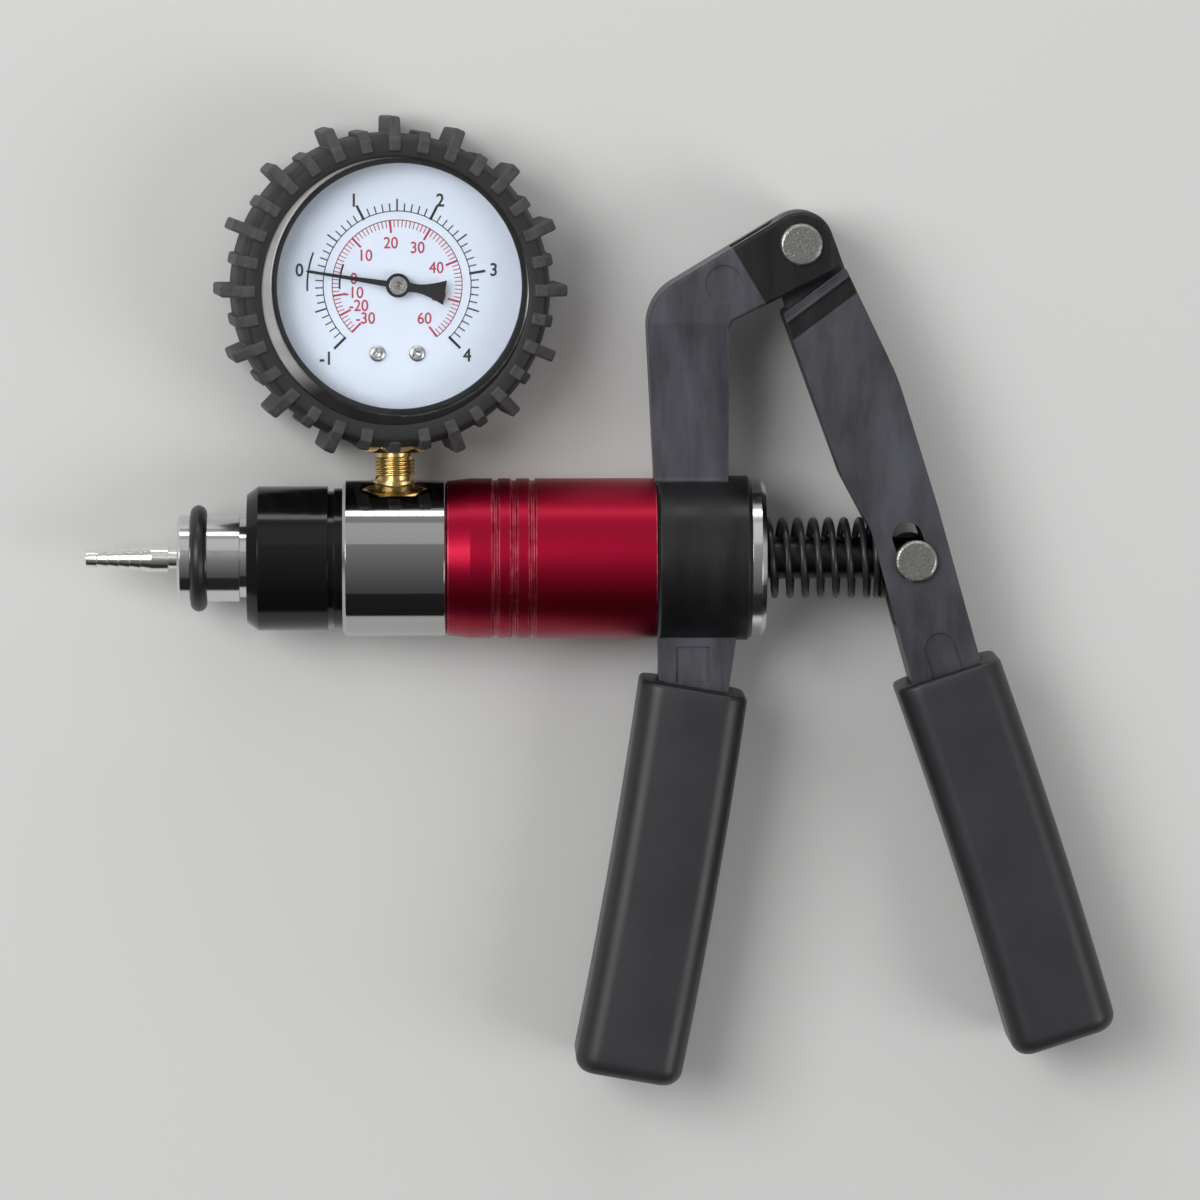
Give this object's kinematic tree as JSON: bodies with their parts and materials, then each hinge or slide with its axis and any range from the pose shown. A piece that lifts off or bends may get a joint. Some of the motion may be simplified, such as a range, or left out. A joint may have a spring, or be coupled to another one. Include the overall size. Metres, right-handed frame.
{
  "type": "hand vacuum pump",
  "caption": "Hand-held vacuum pump with a squeeze lever, spring-returned plunger, push-pull selector, barbed hose nozzle and a dial gauge in a finned rubber boot.",
  "frame": {"origin": "on the pump axis, in the middle of the hose barb's largest land", "axes": "+X along the pump from the hose barb to the squeeze lever, +Y up the gauge stem, +Z out of the dial; the pump lies on its back"},
  "size_m": [0.195, 0.1838, 0.0319],
  "materials": {
    "nickel": "bright nickel plate over turned brass",
    "chrome": "mirror chrome",
    "black_rubber": "satin nitrile rubber",
    "spring_steel": "dark phosphated spring steel",
    "black_gloss": "glossy black acetal",
    "red_anodised": "deep crimson anodised and polished",
    "turned_alloy": "bright turned aluminium",
    "natural_acetal": "natural acetal",
    "steel_rod": "ground steel",
    "black_steel": "black oxide with oil",
    "pin_steel": "zinc plated steel",
    "glass_nylon": "dark glass-filled nylon with a soft sheen",
    "grip_rubber": "satin charcoal rubber",
    "brass": "turned brass",
    "case_steel": "black painted steel",
    "bezel_steel": "bright steel",
    "dial_white": "white enamel",
    "needle_black": "black enamel",
    "clear_lens": "clear flat window",
    "boot_rubber": "matte grey-black rubber"
  },
  "bodies": {
    "selector": {"hose_nozzle": "nickel", "selector_spool": "nickel", "spool_bumper": "black_rubber", "spool_seals": "black_rubber", "spool_retaining_ring": "spring_steel"},
    "pump": {"selector_collar": "black_gloss", "collar_gasket": "black_rubber", "manifold_block": "chrome", "cylinder_barrel": "red_anodised", "valve_plate": "turned_alloy", "valve_plate_seal": "black_rubber", "inlet_valve": "black_rubber", "outlet_valve": "black_rubber", "end_cap": "turned_alloy", "rod_guide": "natural_acetal", "return_spring": "black_steel", "pivot_pin": "pin_steel", "pivot_pin_clip": "spring_steel", "handle_frame": "glass_nylon", "fixed_grip": "grip_rubber", "gauge_stem": "brass", "bourdon_tube": "brass", "movement_plates": "brass", "gauge_case": "case_steel", "dial_plate": "dial_white", "dial_screws": "pin_steel", "gauge_lens": "clear_lens", "window_seal": "black_rubber", "gauge_bezel": "bezel_steel", "gauge_boot": "boot_rubber"},
    "plunger": {"plunger_rod": "steel_rod", "piston": "turned_alloy", "piston_seal": "black_rubber", "piston_screw": "steel_rod", "spring_washer": "black_steel", "washer_retaining_ring": "spring_steel", "drive_pin": "pin_steel", "drive_pin_clip": "spring_steel"},
    "lever": {"squeeze_lever": "glass_nylon", "lever_grip": "grip_rubber"},
    "sector": {"toothed_sector": "brass"},
    "needle": {"needle_arbor": "steel_rod", "needle": "needle_black", "needle_bushing": "pin_steel"},
    "link": {"gauge_link": "brass"}
  },
  "joints": [
    {"name": "squeeze", "type": "hinge", "parent": "pump", "child": "lever", "pos_m": [0.1212, 0.0597, 0], "axis": [0, 0, -1], "range_deg": [0, 15], "stiffness_Nm_per_rad": 2, "springref_deg": -8.59},
    {"name": "plunger_slide", "type": "slide", "parent": "pump", "child": "plunger", "axis": [-1, 0, 0], "range_m": [0, 0.017], "deforming": ["return_spring"]},
    {"name": "selector_slide", "type": "slide", "parent": "pump", "child": "selector", "axis": [1, 0, 0], "range_m": [0, 0.006]},
    {"name": "sector_turn", "type": "hinge", "parent": "pump", "child": "sector", "pos_m": [0.05414, 0.04242, -0.00084], "axis": [0.0872, 0, 0.9962], "range_deg": [-6.75, 27]},
    {"name": "needle_turn", "type": "hinge", "parent": "pump", "child": "needle", "pos_m": [0.0446, 0.052, 0], "axis": [-0.0872, 0, -0.9962], "range_deg": [-54, 216]},
    {"name": "link_turn", "type": "hinge", "parent": "sector", "child": "link", "pos_m": [0.05856, 0.04164, -0.00122], "axis": [0.0872, 0, 0.9962], "range_deg": [-27, 6.75]}
  ],
  "couplings": [
    {"joint": "plunger_slide", "follows": "squeeze", "m_per_rad": 0.06375},
    {"joint": "needle_turn", "follows": "sector_turn", "ratio": 8},
    {"joint": "link_turn", "follows": "sector_turn", "ratio": -1}
  ]
}
